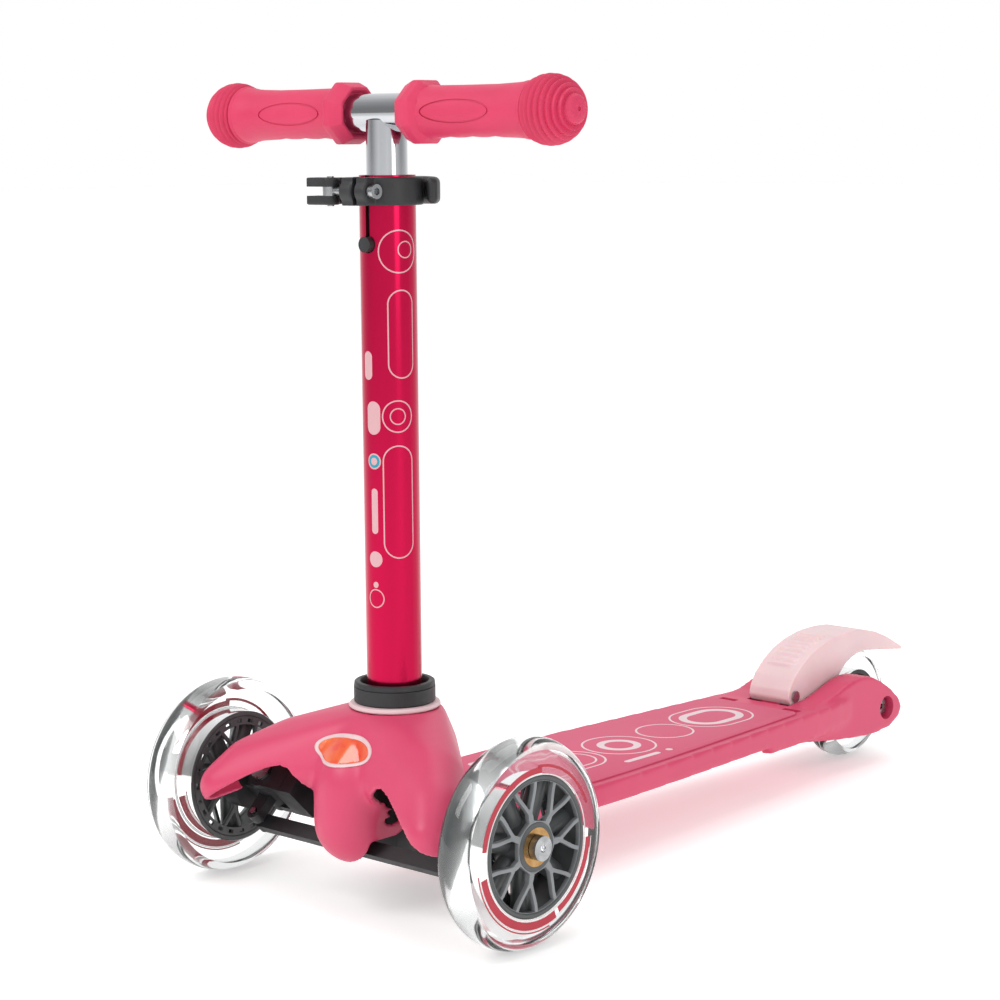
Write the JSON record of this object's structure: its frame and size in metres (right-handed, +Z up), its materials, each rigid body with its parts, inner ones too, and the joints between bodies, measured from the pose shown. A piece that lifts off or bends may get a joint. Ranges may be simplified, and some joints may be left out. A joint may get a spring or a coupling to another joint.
{
  "type": "kick scooter",
  "caption": "Small three-wheeled kick scooter for children, with a lean-to-steer front axle, a sliding T-bar with ball-ended grips, a flat deck and a rear fender brake.",
  "frame": {"origin": "on the ground, under the middle of the scooter's bounding box", "axes": "+X to the rider's left, across the scooter; -Y the way it rolls; +Z up"},
  "size_m": [0.289, 0.598, 0.4795],
  "materials": {
    "pink_plastic": "satin moulded",
    "deck_mat": "matte textured",
    "black_plastic": "matte moulded",
    "pale_plastic": "satin",
    "badge_enamel": "domed gloss",
    "pink_anodised": "anodised",
    "polished_tube": "polished",
    "pink_rubber": "soft matte",
    "black_rubber": "matte",
    "steel": "zinc plated",
    "clear_tyre": "clear cast",
    "grey_hub": "satin moulded",
    "frosted_plastic": "frosted"
  },
  "bodies": {
    "frame": {"deck": "pink_plastic", "grip_mat": "deck_mat", "front_housing": "black_plastic", "housing_screws": "steel", "front_cover": "pink_plastic", "badge": "badge_enamel", "cover_rim": "pale_plastic", "stem_collar": "black_plastic", "outer_tube": "pink_anodised", "tube_bush": "black_plastic", "stem_bolt": "steel", "kingpin_left": "steel", "kingpin_right": "steel", "centring_rubbers": "black_rubber", "clamp_band": "black_plastic", "clamp_bolt": "steel", "clamp_pin": "steel", "rear_axle": "steel", "rear_nut": "steel", "brake_pin": "steel", "brake_springs": "steel"},
    "handlebar": {"inner_tube": "polished_tube", "tube_plug": "black_plastic", "crossbar": "polished_tube", "grip_left": "pink_rubber", "grip_right": "pink_rubber"},
    "lever": {"clamp_lever": "black_plastic"},
    "button": {"height_button": "black_plastic"},
    "steer_left": {"knuckle_left": "black_plastic", "axle_left": "steel"},
    "steer_right": {"knuckle_right": "black_plastic", "axle_right": "steel"},
    "steer_link": {"tie_rod": "black_plastic", "tie_rod_pins": "steel"},
    "wheel_left": {"tyre_left": "clear_tyre", "hub_left": "grey_hub", "bearings_left": "steel", "spacer_left": "steel"},
    "wheel_right": {"tyre_right": "clear_tyre", "hub_right": "grey_hub", "bearings_right": "steel", "spacer_right": "steel"},
    "wheel_rear": {"tyre_rear": "clear_tyre", "hub_rear": "black_plastic", "bearings_rear": "steel", "spacer_rear": "steel"},
    "brake": {"brake_fender": "frosted_plastic", "brake_pad": "steel"}
  },
  "joints": [
    {"name": "handlebar_height", "type": "slide", "parent": "frame", "child": "handlebar", "axis": [0, 0, 1], "range_m": [0, 0.19]},
    {"name": "clamp_lever_swing", "type": "hinge", "parent": "frame", "child": "lever", "pos_m": [-0.024, -0.23575, 0.416], "axis": [0, 0, 1], "range_deg": [0, 110]},
    {"name": "height_button_press", "type": "slide", "parent": "frame", "child": "button", "axis": [0, 1, 0], "range_m": [0, 0.002], "stiffness_N_per_m": 600},
    {"name": "steer_left_turn", "type": "hinge", "parent": "frame", "child": "steer_left", "pos_m": [0.078, -0.239, 0.06], "axis": [0, -0.7071, 0.7071], "range_deg": [-12, 12], "stiffness_Nm_per_rad": 2},
    {"name": "steer_right_turn", "type": "hinge", "parent": "frame", "child": "steer_right", "pos_m": [-0.078, -0.239, 0.06], "axis": [0, -0.7071, 0.7071], "range_deg": [-12, 12], "stiffness_Nm_per_rad": 2},
    {"name": "steer_link_slide", "type": "slide", "parent": "frame", "child": "steer_link", "axis": [1, 0, 0], "range_m": [-0.00462, 0.00462]},
    {"name": "wheel_left_spin", "type": "hinge", "parent": "steer_left", "child": "wheel_left", "pos_m": [0.121, -0.239, 0.06], "axis": [1, 0, 0], "continuous": true},
    {"name": "wheel_right_spin", "type": "hinge", "parent": "steer_right", "child": "wheel_right", "pos_m": [-0.121, -0.239, 0.06], "axis": [1, 0, 0], "continuous": true},
    {"name": "wheel_rear_spin", "type": "hinge", "parent": "frame", "child": "wheel_rear", "pos_m": [0, 0.246, 0.04], "axis": [1, 0, 0], "continuous": true},
    {"name": "brake_press", "type": "hinge", "parent": "frame", "child": "brake", "pos_m": [0, 0.163, 0.059], "axis": [-1, 0, 0], "range_deg": [0, 3.2], "stiffness_Nm_per_rad": 1.2, "springref_deg": -8.59}
  ],
  "couplings": [
    {"joint": "steer_right_turn", "follows": "steer_left_turn", "ratio": 1},
    {"joint": "steer_link_slide", "follows": "steer_left_turn", "m_per_rad": 0.022}
  ]
}
